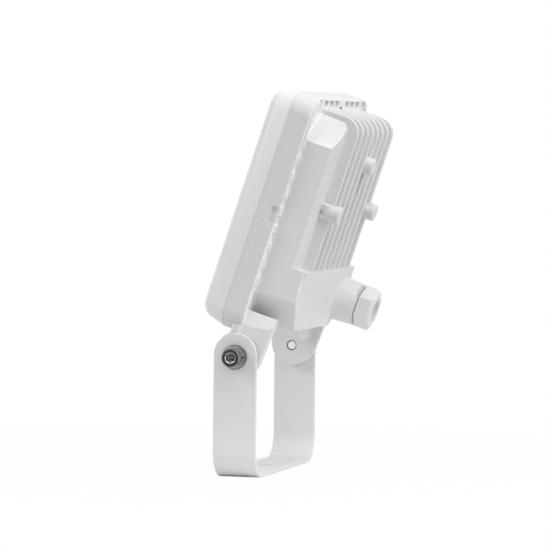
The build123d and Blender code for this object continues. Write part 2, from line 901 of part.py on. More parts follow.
tag_top = terminal_centre - terminal_height / 2 - earth_lead_length
with BuildPart() as earth_tag:
    with BuildSketch(depth(earth_front)):
        with Locations((earth_across, earth_height)):
            Circle(earth_screw_head / 2)
        with Locations((earth_across, (earth_height + tag_top) / 2)):
            Rectangle(tag_width, tag_top - earth_height)
        with Locations((earth_across, earth_height)):
            Circle(earth_screw_diameter / 2, mode=Mode.SUBTRACT)
    extrude(amount=tag_thickness)
earth_tag.part.label = "earth_tag"
export_step(earth_tag.part, "parts/earth_tag.step")

with BuildPart() as earth_lead:
    with BuildSketch(Plane(origin=pivot + up * tag_top + rearwards * (earth_front - tag_thickness / 2)
            + Vector(earth_across, 0, 0), x_dir=(1, 0, 0), z_dir=up)):
        Circle(wire_diameter / 2)
    extrude(amount=earth_lead_length)
earth_lead.part.label = "earth_lead"
export_step(earth_lead.part, "parts/earth_lead.step")

with BuildPart() as led_leads:
    for across in lead_places:
        start = driver_centre + driver_height / 2 - lead_edge
        end = board_centre - board_height / 2 + lead_edge
        with BuildLine(side_plane.offset(across)) as route:
            corners = [(driver_front, start), (lead_run, start), (lead_run, end), (board_front, end)]
            FilletPolyline(*corners, radius=lead_bend)
        with BuildSketch(Plane(origin=route.line @ 0, z_dir=route.line % 0)):
            Circle(wire_diameter / 2)
        sweep()
led_leads.part.label = "led_leads"
export_step(led_leads.part, "parts/led_leads.step")

with BuildPart() as supply_leads:
    for rise in supply_places:
        with BuildLine(top_plane.offset(terminal_centre + rise)) as route:
            FilletPolyline(
                (terminal_across + terminal_width / 2, supply_depth),
                (driver_across - driver_width / 2 + supply_reach, supply_depth),
                (driver_across - driver_width / 2 + supply_reach, driver_front),
                radius=supply_bend,
            )
        with BuildSketch(Plane(origin=route.line @ 0, z_dir=route.line % 0)):
            Circle(wire_diameter / 2)
        sweep()
supply_leads.part.label = "supply_leads"
export_step(supply_leads.part, "parts/supply_leads.step")


# Pan-head screws, each set with its heads resting on what it holds
board_screw_places = [
    (side * board_holes[0] / 2, board_centre + end * board_holes[1] / 2)
    for side in (-1, 1)
    for end in (-1, 1)
]
driver_screw_places = [
    (driver_across + side * driver_holes[0] / 2, driver_centre + end * driver_holes[1] / 2)
    for side in (-1, 1)
    for end in (-1, 1)
]
for name, seat, places, diameter, length, head, head_height in (
    (
        "board_screws",
        board_front,
        board_screw_places,
        m3_diameter,
        board_screw_length,
        m3_head,
        m3_head_height,
    ),
    (
        "driver_screws",
        driver_front,
        driver_screw_places,
        m3_diameter,
        driver_screw_length,
        m3_head,
        m3_head_height,
    ),
    (
        "gear_cover_screws",
        gear_cover_front,
        gear_posts,
        m3_diameter,
        cover_screw_length,
        m3_head,
        m3_head_height,
    ),
    (
        "earth_screw",
        earth_front - tag_thickness,
        [(earth_across, earth_height)],
        earth_screw_diameter,
        earth_screw_length,
        earth_screw_head,
        earth_screw_head_height,
    ),
):
    with BuildPart() as screws:
        with BuildSketch(depth(seat)):
            with Locations(*places):
                Circle(diameter / 2)
        extrude(amount=-length)
        with BuildSketch(depth(seat)):
            with Locations(*places):
                Circle(head / 2)
        extrude(amount=head_height)
        fillet(screws.edges().filter_by(at_depth(seat - head_height)), head_height / 3)
        with BuildSketch(depth(seat - head_height)):
            with Locations(*places):
                RegularPolygon(socket_across / 2, 6, major_radius=False)
        extrude(amount=-socket_depth, mode=Mode.SUBTRACT)
    screws.part.label = name
    export_step(screws.part, f"parts/{name}.step")


# Cable gland: seal, ring and hexagonal nut
with BuildPart() as gland_seal:
    with BuildSketch(depth(gland_floor)):
        with Locations((gland_across, gland_centre)):
            Circle(gland_bore / 2 - seal_clearance)
            Circle(seal_hole / 2, mode=Mode.SUBTRACT)
    extrude(amount=-(gland_end + spigot_length - gland_floor))
gland_seal.part.label = "gland_seal"
export_step(gland_seal.part, "parts/gland_seal.step")

with BuildPart() as gland_ring:
    with BuildSketch(depth(gland_end + spigot_length)):
        with Locations((gland_across, gland_centre)):
            Circle(spigot_diameter / 2)
            Circle(ring_hole / 2, mode=Mode.SUBTRACT)
    extrude(amount=-ring_thickness)
gland_ring.part.label = "gland_ring"
export_step(gland_ring.part, "parts/gland_ring.step")

nut_front = gland_end + nut_gap
with BuildPart() as gland_nut:
    with BuildSketch(depth(nut_front)):
        with Locations((gland_across, gland_centre)):
            RegularPolygon(nut_across_flats / 2, 6, major_radius=False, rotation=nut_turn)
    extrude(amount=-nut_length)
    chamfer(gland_nut.edges().filter_by(at_depth(nut_front + nut_length)), nut_edge)
    with BuildSketch(depth(nut_front)):
        with Locations((gland_across, gland_centre)):
            Circle(nut_opening / 2)
    extrude(amount=-nut_length, mode=Mode.SUBTRACT)
    with BuildSketch(depth(nut_front)):
        with Locations((gland_across, gland_centre)):
            Circle(spigot_diameter / 2 + thread_clearance)
    extrude(amount=-(spigot_length - nut_gap + ring_thickness), mode=Mode.SUBTRACT)
gland_nut.part.label = "gland_nut"
export_step(gland_nut.part, "parts/gland_nut.step")


# Pivot hardware on both arms
for side, hand in ((-1, "left"), (1, "right")):
    arm_middle = pivot + Vector(side * bracket_width / 2, 0, 0)
    arm_face = Plane(origin=arm_middle, x_dir=(0, 1, 0), z_dir=(side, 0, 0))
    washer_face = arm_face.offset(flat_washer_thickness)
    head_face = washer_face.offset(spring_washer_thickness)

    with BuildPart() as pivot_washer:
        with BuildSketch(arm_face):
            Circle(flat_washer / 2)
            Circle(washer_hole / 2, mode=Mode.SUBTRACT)
        extrude(amount=flat_washer_thickness)
        chamfer(pivot_washer.faces().sort_by(Axis.X)[0 if side < 0 else -1].outer_wire().edges(), washer_edge)
    pivot_washer.part.label = f"flat_washer_{hand}"
    export_step(pivot_washer.part, f"parts/flat_washer_{hand}.step")

    with BuildPart() as split_washer:
        with BuildSketch(washer_face):
            Circle(spring_washer / 2)
            Circle(washer_hole / 2, mode=Mode.SUBTRACT)
            with Locations((spring_washer / 2, 0)):
                Rectangle(spring_washer, spring_washer_gap, mode=Mode.SUBTRACT)
        extrude(amount=spring_washer_thickness)
    split_washer.part.label = f"spring_washer_{hand}"
    export_step(split_washer.part, f"parts/spring_washer_{hand}.step")

    with BuildPart() as socket_screw:
        with BuildSketch(head_face):
            Circle(pivot_screw / 2)
        extrude(amount=-screw_length)
        with BuildSketch(head_face):
            Circle(screw_head / 2)
        extrude(amount=screw_head_height)
        rims = socket_screw.faces().sort_by(Axis.X)
        chamfer(rims[0 if side < 0 else -1].edges(), screw_edge)
        chamfer(rims[-1 if side < 0 else 0].edges(), screw_edge)
        with BuildSketch(head_face.offset(screw_head_height)):
            RegularPolygon(hex_socket / 2, 6, major_radius=False)
        extrude(amount=-hex_socket_depth, mode=Mode.SUBTRACT)
    socket_screw.part.label = f"pivot_screw_{hand}"
    export_step(socket_screw.part, f"parts/pivot_screw_{hand}.step")

    with BuildPart() as slip_washer:
        with BuildSketch(arm_face.offset(-strip_thickness - running_gap)):
            Circle(friction_washer / 2)
            Circle(pivot_screw / 2, mode=Mode.SUBTRACT)
        extrude(amount=-friction_washer_thickness)
    slip_washer.part.label = f"friction_washer_{hand}"
    export_step(slip_washer.part, f"parts/friction_washer_{hand}.step")
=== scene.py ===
"""White LED flood light on a folded bracket: its finishes, soft edges, screws and studio."""
import json
import math

import bmesh
import bpy
import numpy as np
from mathutils import Matrix, Vector


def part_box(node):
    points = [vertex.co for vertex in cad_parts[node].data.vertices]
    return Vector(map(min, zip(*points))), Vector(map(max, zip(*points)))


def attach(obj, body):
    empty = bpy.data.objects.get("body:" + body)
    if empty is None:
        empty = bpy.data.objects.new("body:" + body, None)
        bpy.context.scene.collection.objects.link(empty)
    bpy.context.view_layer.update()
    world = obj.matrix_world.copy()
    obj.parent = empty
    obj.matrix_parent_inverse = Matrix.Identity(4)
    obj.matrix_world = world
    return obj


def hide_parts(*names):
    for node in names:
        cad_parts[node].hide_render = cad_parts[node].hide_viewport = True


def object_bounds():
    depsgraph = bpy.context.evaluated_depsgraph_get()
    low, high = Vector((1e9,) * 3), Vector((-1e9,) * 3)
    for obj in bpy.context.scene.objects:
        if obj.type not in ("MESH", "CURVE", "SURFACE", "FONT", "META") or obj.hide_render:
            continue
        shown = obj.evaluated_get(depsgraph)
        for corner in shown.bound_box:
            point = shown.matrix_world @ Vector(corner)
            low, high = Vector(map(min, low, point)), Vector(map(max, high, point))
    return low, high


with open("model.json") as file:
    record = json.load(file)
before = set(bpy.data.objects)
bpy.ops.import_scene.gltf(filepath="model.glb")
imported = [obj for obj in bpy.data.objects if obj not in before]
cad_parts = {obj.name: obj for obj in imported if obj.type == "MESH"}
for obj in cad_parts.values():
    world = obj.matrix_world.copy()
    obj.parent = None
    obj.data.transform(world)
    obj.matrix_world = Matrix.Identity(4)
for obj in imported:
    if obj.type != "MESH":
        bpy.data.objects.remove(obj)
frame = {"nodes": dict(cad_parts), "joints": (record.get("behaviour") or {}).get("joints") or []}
cad_bounds = [list(corner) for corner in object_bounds()]
nodes = frame["nodes"]
MM = 0.001

# Lamp head: its own directions, from the pivot
HEAD_TILT = math.radians(18.3)
PIVOT = Vector(frame["joints"][0]["pos_m"])
HEAD_UP = Vector((0, math.sin(HEAD_TILT), math.cos(HEAD_TILT)))
HEAD_REAR = Vector((0, math.cos(HEAD_TILT), -math.sin(HEAD_TILT)))

# Camera, fitted to the photograph
CAMERA_AZIMUTH = math.radians(105.0)
CAMERA_ELEVATION = math.radians(2.2337)
CAMERA_ROLL = math.radians(0.625)
CAMERA_ACROSS = 5.9305 * MM
CAMERA_RISE = 113.1559 * MM
CAMERA_DISTANCE = 2165.97 * MM
CAMERA_LENS = 243.0
CAMERA_REACH = 100.0

# Studio, in metres and watts
SOFT_LIGHT = 0.31
FLOOR_COLOUR = (0.94, 0.94, 0.94)
FLOOR_ROUGHNESS = 0.9
FLOOR_SPECULAR = 0.1
FLOOR_RADIUS = 0.9
FLOOR_MIDDLE_RADIUS = 0.0005
FLOOR_RINGS = 24
FLOOR_AROUND = 96
FLOOR_SOLID = 0.10
FLOOR_CLEAR = 0.42
FLOOR_GLOW = 0.93
LAMPS = {
    "overhead_softbox": {"place": (0.25, 0.35, 1.25), "size": 1.1, "power": 7.0},
    "rear_softbox": {"place": (0.35, 1.30, 0.75), "size": 0.9, "power": 8.0},
    "front_softbox": {"place": (0.90, -1.20, 0.90), "size": 0.9, "power": 8.0},
}

# Colours
POWDER_WHITE = (0.86, 0.86, 0.855)
# Painted highlight along the rim's rear edge
RIM_HIGHLIGHT_WHITE = (0.99, 0.99, 0.985)
OPAL_WHITE = (0.93, 0.93, 0.925)
NYLON_WHITE = (0.87, 0.87, 0.86)
SPECK_COLOUR = (0.25, 0.24, 0.22)
SCREW_STEEL = (0.30, 0.305, 0.31)
# Painted light and shade on the screws: dark reflection of the front face, shade in the socket, highlights
# on the tip and edges
SCREW_FACE_DARK_REFLECTION = (0.055, 0.054, 0.055)
SCREW_HOLLOW_SHADE = (0.17, 0.168, 0.165)
SCREW_TIP_HIGHLIGHT = (0.80, 0.80, 0.79)
SCREW_EDGE_HIGHLIGHT = (0.66, 0.66, 0.65)
WASHER_STEEL_LIGHTER = 1.35
# Painted shade on the washers' outer rim
WASHER_RIM_SHADE = (0.10, 0.10, 0.10)

# Middle range of a noise, where most of its values lie
NOISE_LOW = 0.3
NOISE_HIGH = 0.7

# Fine grain of paint and mouldings
FINE_GRAIN = {"detail": 3.0, "roughness": 0.6}

# Powder coat
POWDER_CLOUD = {"scale": 28.0, "detail": 3.0}
POWDER_CLOUD_SHADE = 0.985
POWDER_PIT_SHADE = 0.6
POWDER_PIT_LOW = 0.30
POWDER_PIT_HIGH = 0.60
POWDER_ROUGHNESS = (0.40, 0.52)
POWDER_SPECULAR = 0.45
PEEL_COARSER = 5
PEEL_DEEPER = 2.2
PEEL_DETAIL = 1.0

# Dust specks on the housing: across, rise and rear in millimetres
SPECK_PLACES = ((58.9, 26.6, 6.2),)
SPECK_CORE = 0.12 * MM
SPECK_RADIUS = 0.30 * MM

# Rough band round the rim, and a painted highlight line behind it along the rim's rear edge, by their
# depth and rise in the head
BAND_END = -4.4 * MM
BAND_FOOT = 12.2 * MM
BAND_FADE = 0.4 * MM
BAND_ROUGHER = 2.6
RIM_HIGHLIGHT_START = -4.3 * MM
RIM_HIGHLIGHT_END = -2.35 * MM
RIM_HIGHLIGHT_FADE_IN = 0.3 * MM
RIM_HIGHLIGHT_FADE_OUT = 0.1 * MM

# Opal plastic
OPAL_CLOUD = {"scale": 16.0, "detail": 2.0}
OPAL_CLOUD_SHADE = 0.99
OPAL_SMEAR = {"scale": 60.0, "detail": 2.0}
OPAL_ROUGHNESS = (0.20, 0.27)
OPAL_WAVE = {"scale": 90.0, "detail": 1.0}
OPAL_WAVE_DEPTH = 0.02 * MM
OPAL_SCATTER = 0.25
OPAL_SCATTER_DEPTH = 2.0 * MM

# Mouldings
MOULD_CLOUD = {"scale": 70.0, "detail": 3.0}
MOULD_ROUGHNESS_CHANGE = (-0.05, 0.06)

# Steel
STEEL_CLOUD = {"scale": 420.0, "detail": 4.0, "roughness": 0.6}
STEEL_CLOUD_LOW = 0.35
STEEL_CLOUD_HIGH = 0.65
STEEL_CLOUD_SHADE = 0.72
STEEL_MARKS = {"scale": 1500.0, "detail": 2.0}
STEEL_MARK_DEPTH = 0.01 * MM
STEEL_ROUGHNESS_CHANGE = (-0.08, 0.12)
# Painted shade on the washers' outer rim, by its distance from the pivot axis
WASHER_SHADE_START = 6.1 * MM
WASHER_SHADE_WIDTH = 0.8 * MM

# Circuit boards
TRACK_SCALE = 160.0
TRACK_WIDTH = 0.09
TRACK_DEPTH = 0.03 * MM
BOARD_SMEAR = {"scale": 300.0}
BOARD_ROUGHNESS = (0.25, 0.35)

# Rounded edges
SHARP_TURN = math.radians(32)
SMOOTH_TURN = math.radians(30)
FLAT_TURN = math.radians(0.4)
MERGE_DISTANCE = 0.002 * MM

# Outer rear edges of the pads and lips behind the rim
PAD_OUTSIDE = 61.9 * MM
PAD_REAR = -2.4 * MM
PAD_NEAR = 0.05 * MM
PAD_ROUNDING = 0.85 * MM

# Pivot screws
SCREW_RADIUS = 3.0 * MM
SCREW_HEAD_RADIUS = 5.2 * MM
SCREW_HEAD_HEIGHT = 6.0 * MM
SCREW_HEAD_CHAMFER = 0.55 * MM
SCREW_HEAD_EDGE = 0.08 * MM
SCREW_TIP_SHARE = 0.8
SCREW_SMOOTH_TURN = math.radians(28)
SOCKET_APOTHEM = 2.5 * MM
SOCKET_DEPTH = 3.2 * MM
SOCKET_CHAMFER = 0.35 * MM
SOCKET_CORNER = SOCKET_APOTHEM * 1.155
SOCKET_MOUTH = SOCKET_APOTHEM * 1.06
SOCKET_FLOOR_SHARE = 0.86
SOCKET_CONE_SHARE = 0.3
SOCKET_CONE_DEPTH = SOCKET_APOTHEM * 0.35
KNURL_COUNT = 44
KNURL_DEPTH = 0.16 * MM
KNURL_EASED = 0.3
POINTS_PER_KNURL = 4
THREAD_PITCH = 1.0 * MM
THREAD_DEPTH = 0.45 * MM
THREAD_CHAMFER = 0.7 * MM
THREAD_CHAMFER_DEEPER = 1.4
RINGS_PER_PITCH = 10

# Zones of painted light and shade on the screws
SCREW_HOLLOW_RADIUS = 2.90 * MM
SCREW_FACE_INSIDE = 2.98 * MM
SCREW_FACE_DEPTH = 0.42 * MM
SCREW_ZONE_FADE = 0.06 * MM
SCREW_EDGE_DEPTH = SCREW_HEAD_CHAMFER * 1.25
SCREW_EDGE_FADE = SCREW_HEAD_CHAMFER * 0.1
SCREW_TIP_DEPTH = 0.10 * MM
SCREW_TIP_FADE = 0.05 * MM


def at(across, rise, rear):
    """Point of the head: across from its middle, up from the pivot and rearwards, in millimetres."""
    return PIVOT + (Vector((across, 0, 0)) + HEAD_UP * rise + HEAD_REAR * rear) * MM


def shade(colour, factor):
    """A colour made lighter or darker."""
    return tuple(channel * factor for channel in colour)


def add_object(name, data):
    """New object in the scene, made of a mesh, lamp or camera."""
    item = bpy.data.objects.new(name, data)
    bpy.context.scene.collection.objects.link(item)
    return item


# Node trees


def blank_material(name):
    """New material with a principled shader, and its node tree."""
    material = bpy.data.materials.new(name)
    material.use_nodes = True
    tree = material.node_tree
    shader = tree.nodes["Principled BSDF"]
    return material, tree, shader


def set_shader(shader, **values):
    """Writes plain values on the shader's own sockets, named with underscores."""
    for name, value in values.items():
        shader.inputs[name.replace("_", " ")].default_value = value


def noise(tree, scale, detail=2.0, roughness=0.5, stretch=(1, 1, 1)):
    """Noise on object coordinates; its scale counts the grains to the metre."""
    coordinates = tree.nodes.new("ShaderNodeTexCoord")
    mapping = tree.nodes.new("ShaderNodeMapping")
    mapping.inputs["Scale"].default_value = stretch
    texture = tree.nodes.new("ShaderNodeTexNoise")
    texture.inputs["Scale"].default_value = scale
    texture.inputs["Detail"].default_value = detail
    texture.inputs["Roughness"].default_value = roughness
    tree.links.new(coordinates.outputs["Object"], mapping.inputs["Vector"])
    tree.links.new(mapping.outputs["Vector"], texture.inputs["Vector"])
    return texture.outputs["Fac"]


def remap(tree, value, low, high, new_low, new_high):
    """Carries a value from one range into another, clamped."""
    node = tree.nodes.new("ShaderNodeMapRange")
    for name, number in (("From Min", low), ("From Max", high), ("To Min", new_low), ("To Max", new_high)):
        node.inputs[name].default_value = number
    tree.links.new(value, node.inputs["Value"])
    return node.outputs["Result"]


def spread(tree, grain, low=0.0, high=1.0):
    """Spreads the middle range of a noise over another range."""
    return remap(tree, grain, NOISE_LOW, NOISE_HIGH, low, high)


def rises(tree, value, start, width):
    """0 up to the start, and 1 from one width beyond it."""
    return remap(tree, value, start, start + width, 0.0, 1.0)


def falls(tree, value, start, width):
    """1 up to the start, and 0 from one width beyond it."""
    return remap(tree, value, start, start + width, 1.0, 0.0)


def product(tree, first, second):
    """Two values multiplied."""
    node = tree.nodes.new("ShaderNodeMath")
    node.operation = "MULTIPLY"
    tree.links.new(first, node.inputs[0])
    tree.links.new(second, node.inputs[1])
    return node.outputs["Value"]


def blend_colour(tree, factor, first, second):
    """Mixes two colours by a factor; either one is a colour or a colour socket."""
    node = tree.nodes.new("ShaderNodeMix")
    node.data_type = "RGBA"
    for socket, colour in ((node.inputs["A"], first), (node.inputs["B"], second)):
        if isinstance(colour, tuple):
            socket.default_value = (*colour, 1)
        else:
            tree.links.new(colour, socket)
    tree.links.new(factor, node.inputs["Factor"])
    return node.outputs["Result"]


def bump(tree, shader, layers):
    """Stacks bumps on a shader: each layer is a height socket and its depth in metres."""
    normal = None
    for height, distance in layers:
        node = tree.nodes.new("ShaderNodeBump")
        node.inputs["Strength"].default_value = 1.0
        node.inputs["Distance"].default_value = distance
        tree.links.new(height, node.inputs["Height"])
        if normal is not None:
            tree.links.new(normal, node.inputs["Normal"])
        normal = node.outputs["Normal"]
    tree.links.new(normal, shader.inputs["Normal"])


def distance_to(tree, point):
    """Distance of the shaded place from a point of the part."""
    coordinates = tree.nodes.new("ShaderNodeTexCoord")
    node = tree.nodes.new("ShaderNodeVectorMath")
    node.operation = "DISTANCE"
    node.inputs[1].default_value = point
    tree.links.new(coordinates.outputs["Object"], node.inputs[0])
    return node.outputs["Value"]


def distance_from_middle(tree):
    """Distance of the shaded place from the part's middle plane, which the x axis crosses."""
    coordinates = tree.nodes.new("ShaderNodeTexCoord")
    split = tree.nodes.new("ShaderNodeSeparateXYZ")
    tree.links.new(coordinates.outputs["Object"], split.inputs[0])
    node = tree.nodes.new("ShaderNodeMath")
    node.operation = "ABSOLUTE"
    tree.links.new(split.outputs["X"], node.inputs[0])
    return node.outputs["Value"]


def distance_from_axis(tree):
    """Distance of the shaded place from the pivot axis, which runs along x."""
    coordinates = tree.nodes.new("ShaderNodeTexCoord")
    flatten = tree.nodes.new("ShaderNodeVectorMath")
    flatten.operation = "MULTIPLY"
    flatten.inputs[1].default_value = (0, 1, 1)
    node = tree.nodes.new("ShaderNodeVectorMath")
    node.operation = "DISTANCE"
    node.inputs[1].default_value = (0, PIVOT.y, PIVOT.z)
    tree.links.new(coordinates.outputs["Object"], flatten.inputs[0])
    tree.links.new(flatten.outputs["Vector"], node.inputs[0])
    return node.outputs["Value"]


def along_head(tree, direction):
    """How far the shaded place lies from the pivot, along one of the head's own directions."""
    coordinates = tree.nodes.new("ShaderNodeTexCoord")
    node = tree.nodes.new("ShaderNodeVectorMath")
    node.operation = "DOT_PRODUCT"
    node.inputs[1].default_value = direction
    tree.links.new(coordinates.outputs["Object"], node.inputs[0])
    shifted = tree.nodes.new("ShaderNodeMath")
    shifted.operation = "SUBTRACT"
    shifted.inputs[1].default_value = PIVOT.dot(direction)
    tree.links.new(node.outputs["Value"], shifted.inputs[0])
    return shifted.outputs["Value"]


# Finishes


def powder_coat(name, colour, grain, depth, pits, specks=(), rough_band=False):
    """White powder coat: fine grain with darker pits, faint orange peel, uneven gloss and dust specks.
    A rough band has deeper grain up to its end, and a painted highlight, a lighter line of colour, follows
    along the rim's rear edge."""
    material, tree, shader = blank_material(name)
    cloud = spread(tree, noise(tree, **POWDER_CLOUD))
    paint = blend_colour(tree, cloud, shade(colour, POWDER_CLOUD_SHADE), colour)
    fine = noise(tree, grain, **FINE_GRAIN)
    hollows = remap(tree, fine, POWDER_PIT_LOW, POWDER_PIT_HIGH, pits, 0.0)
    if rough_band:
        rearwards = along_head(tree, HEAD_REAR)
        above = rises(tree, along_head(tree, HEAD_UP), BAND_FOOT, BAND_FADE)
        band = product(tree, falls(tree, rearwards, BAND_END, BAND_FADE), above)
        rougher = remap(tree, band, 0.0, 1.0, 1.0, BAND_ROUGHER)
        hollows = product(tree, hollows, rougher)
        fine = product(tree, fine, rougher)
        # Painted highlight: lighter colour along the rim's rear edge, standing in for the light its
        # rounded edge catches from behind
        begun = rises(tree, rearwards, RIM_HIGHLIGHT_START, RIM_HIGHLIGHT_FADE_IN)
        going = falls(tree, rearwards, RIM_HIGHLIGHT_END, RIM_HIGHLIGHT_FADE_OUT)
        line = product(tree, product(tree, begun, going), above)
        paint = blend_colour(tree, line, paint, RIM_HIGHLIGHT_WHITE)
    paint = blend_colour(tree, hollows, paint, shade(colour, POWDER_PIT_SHADE))
    for point in specks:
        spot = falls(tree, distance_to(tree, point), SPECK_CORE, SPECK_RADIUS - SPECK_CORE)
        paint = blend_colour(tree, spot, paint, SPECK_COLOUR)
    tree.links.new(paint, shader.inputs["Base Color"])
    peel = noise(tree, grain / PEEL_COARSER, PEEL_DETAIL)
    dullness = spread(tree, peel, *POWDER_ROUGHNESS)
    tree.links.new(dullness, shader.inputs["Roughness"])
    bump(tree, shader, ((peel, depth * PEEL_DEEPER), (fine, depth)))
    set_shader(shader, Specular_IOR_Level=POWDER_SPECULAR)
    return material


def opal_plastic(name):
    """Opal cover: smooth and glossy, with light scattered a little way into it."""
    material, tree, shader = blank_material(name)
    cloud = spread(tree, noise(tree, **OPAL_CLOUD))
    paint = blend_colour(tree, cloud, shade(OPAL_WHITE, OPAL_CLOUD_SHADE), OPAL_WHITE)
    tree.links.new(paint, shader.inputs["Base Color"])
    dullness = spread(tree, noise(tree, **OPAL_SMEAR), *OPAL_ROUGHNESS)
    tree.links.new(dullness, shader.inputs["Roughness"])
    bump(tree, shader, ((noise(tree, **OPAL_WAVE), OPAL_WAVE_DEPTH),))
    set_shader(
        shader,
        Subsurface_Weight=OPAL_SCATTER,
        Subsurface_Radius=(1.0, 1.0, 1.0),
        Subsurface_Scale=OPAL_SCATTER_DEPTH,
    )
    return material


def moulding(name, colour, roughness=0.5, grain=900.0, depth=0.012 * MM, variation=0.05):
    """Moulded plastic or rubber: even colour with faint flow marks and a fine spark-eroded grain."""
    material, tree, shader = blank_material(name)
    cloud = spread(tree, noise(tree, **MOULD_CLOUD))
    paint = blend_colour(tree, cloud, shade(colour, 1 - variation), colour)
    tree.links.new(paint, shader.inputs["Base Color"])
    fine = noise(tree, grain, **FINE_GRAIN)
    dullness = spread(tree, fine, *(roughness + change for change in MOULD_ROUGHNESS_CHANGE))
    tree.links.new(dullness, shader.inputs["Roughness"])
    bump(tree, shader, ((fine, depth),))
    return material


def steel(name, colour, roughness=0.3, stretch=(1, 1, 1), zones=None):
    """Machined steel: fine tool marks, uneven gloss and slightly darker hollows.
    Zones lay further colours over it, each by its own factor."""
    material, tree, shader = blank_material(name)
    cloud = remap(tree, noise(tree, **STEEL_CLOUD), STEEL_CLOUD_LOW, STEEL_CLOUD_HIGH, 0.0, 1.0)
    metal = blend_colour(tree, cloud, shade(colour, STEEL_CLOUD_SHADE), colour)
    for factor, zone_colour in zones(tree) if zones else ():
        metal = blend_colour(tree, factor, metal, zone_colour)
    tree.links.new(metal, shader.inputs["Base Color"])
    marks = noise(tree, stretch=stretch, **STEEL_MARKS)
    dullness = spread(tree, marks, *(roughness + change for change in STEEL_ROUGHNESS_CHANGE))
    tree.links.new(dullness, shader.inputs["Roughness"])
    bump(tree, shader, ((marks, STEEL_MARK_DEPTH),))
    set_shader(shader, Metallic=1.0)
    return material


def screw_zones(tree):
    """Painted light and shade: a darker socket hollow for its shade, painted highlights on the edges of
    socket and head, a dark front ring for the flat face's dark reflection, and a painted highlight on the
    tip.
    Their places are those of the right screw, which the left one mirrors."""
    low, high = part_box("pivot_screw_right")
    across = distance_from_middle(tree)
    radius = distance_from_axis(tree)
    hollow = falls(tree, radius, SCREW_HOLLOW_RADIUS, SCREW_ZONE_FADE)
    edge = rises(tree, across, high.x - SCREW_EDGE_DEPTH, SCREW_EDGE_FADE)
    outside = rises(tree, radius, SCREW_FACE_INSIDE, SCREW_ZONE_FADE)
    front = product(tree, outside, rises(tree, across, high.x - SCREW_FACE_DEPTH, SCREW_ZONE_FADE))
    tip = falls(tree, across, low.x + SCREW_TIP_DEPTH, SCREW_TIP_FADE)
    return (hollow, SCREW_HOLLOW_SHADE), (edge, SCREW_EDGE_HIGHLIGHT), (front, SCREW_FACE_DARK_REFLECTION), (tip, SCREW_TIP_HIGHLIGHT)


def washer_zones(tree):
    """Painted shade: a darker outer rim."""
    rim = rises(tree, distance_from_axis(tree), WASHER_SHADE_START, WASHER_SHADE_WIDTH)
    return ((rim, WASHER_RIM_SHADE),)


def circuit_board(name, mask, copper):
    """Solder mask over copper: tracks show as slightly raised, lighter bands."""
    material, tree, shader = blank_material(name)
    coordinates = tree.nodes.new("ShaderNodeTexCoord")
    tracks = tree.nodes.new("ShaderNodeTexBrick")
    tracks.inputs["Scale"].default_value = TRACK_SCALE
    tracks.inputs["Mortar Size"].default_value = TRACK_WIDTH
    tracks.inputs["Color1"].default_value = (0, 0, 0, 1)
    tracks.inputs["Color2"].default_value = (0, 0, 0, 1)
    tracks.inputs["Mortar"].default_value = (1, 1, 1, 1)
    tree.links.new(coordinates.outputs["Object"], tracks.inputs["Vector"])
    band = tree.nodes.new("ShaderNodeRGBToBW")
    tree.links.new(tracks.outputs["Color"], band.inputs["Color"])
    paint = blend_colour(tree, band.outputs["Val"], mask, copper)
    tree.links.new(paint, shader.inputs["Base Color"])
    dullness = spread(tree, noise(tree, **BOARD_SMEAR), *BOARD_ROUGHNESS)
    tree.links.new(dullness, shader.inputs["Roughness"])
    bump(tree, shader, ((band.outputs["Val"], TRACK_DEPTH),))
    return material


